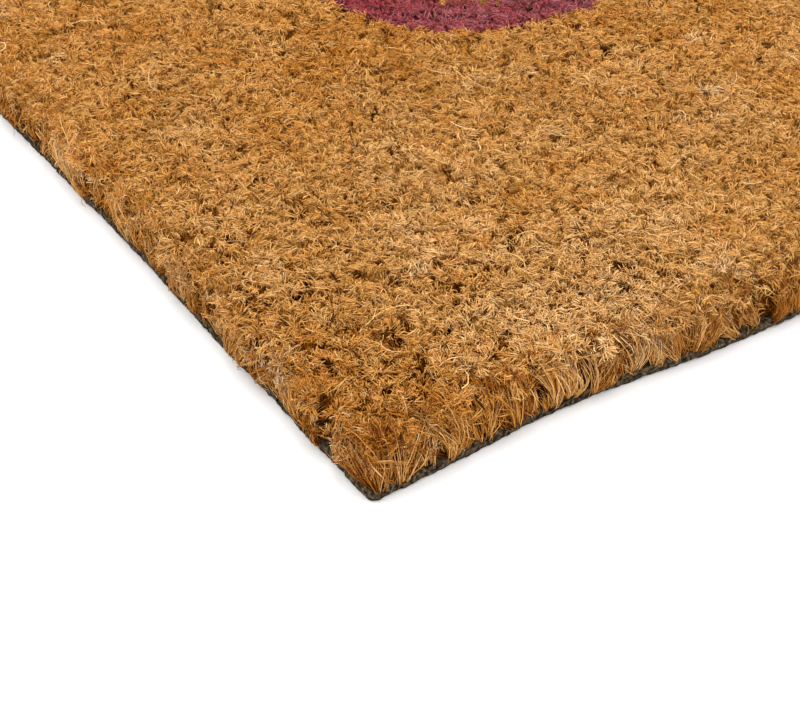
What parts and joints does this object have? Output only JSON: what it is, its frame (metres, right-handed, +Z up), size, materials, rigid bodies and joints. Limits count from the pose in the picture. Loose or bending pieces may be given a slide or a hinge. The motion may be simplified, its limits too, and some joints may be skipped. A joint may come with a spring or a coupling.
{
  "type": "door mat",
  "caption": "Rectangular tufted coir door mat on a thin PVC backing, with a plain rounded border of dyed tufts.",
  "frame": {"origin": "centre of the underside of the backing, on the floor", "axes": "+X along the long side, which the tuft rows follow, +Y from the front edge to the back edge, +Z up through the pile"},
  "size_m": [0.6, 0.4, 0.015],
  "materials": {
    "pvc_backing": "matt dark grey PVC with pale specks of filler, cut edges slightly wavy",
    "coir_natural": "coarse undyed coconut fibre, golden brown, from dark brown roots to pale straw tips",
    "coir_dyed": "coarse coconut fibre, tips dyed a faded maroon over golden brown roots"
  },
  "bodies": {
    "root": {"backing_sheet": "pvc_backing", "tuft_rows_01": "coir_natural", "tuft_rows_02": "coir_natural", "tuft_rows_03": "coir_natural", "tuft_rows_04": "coir_natural", "tuft_rows_05": "coir_natural", "tuft_rows_06": "coir_natural", "tuft_rows_07": "coir_natural", "tuft_rows_08": "coir_natural", "tuft_rows_09": "coir_natural", "tuft_rows_10": "coir_natural", "tuft_rows_11": "coir_natural", "tuft_rows_12": "coir_natural", "tuft_rows_13": "coir_natural", "tuft_rows_14": "coir_natural", "tuft_rows_15": "coir_natural", "tuft_rows_16": "coir_natural", "tuft_rows_17": "coir_natural", "tuft_rows_18": "coir_natural", "tuft_rows_19": "coir_natural", "tuft_rows_20": "coir_natural", "tuft_rows_21": "coir_natural", "tuft_rows_22": "coir_natural", "tuft_rows_23": "coir_natural", "tuft_rows_24": "coir_natural", "tuft_rows_25": "coir_natural", "tuft_rows_26": "coir_natural", "tuft_rows_27": "coir_natural", "tuft_rows_28": "coir_natural", "tuft_rows_29": "coir_natural", "tuft_rows_30": "coir_natural", "tuft_rows_31": "coir_natural", "tuft_rows_32": "coir_natural", "tuft_rows_33": "coir_natural", "tuft_rows_34": "coir_natural", "tuft_rows_35": "coir_natural", "tuft_rows_36": "coir_natural", "tuft_rows_37": "coir_natural", "tuft_rows_38": "coir_natural", "tuft_rows_39": "coir_natural", "tuft_rows_40": "coir_natural", "dyed_border_front": "coir_dyed", "dyed_border_back": "coir_dyed", "dyed_border_left": "coir_dyed", "dyed_border_right": "coir_dyed"}
  },
  "joints": []
}
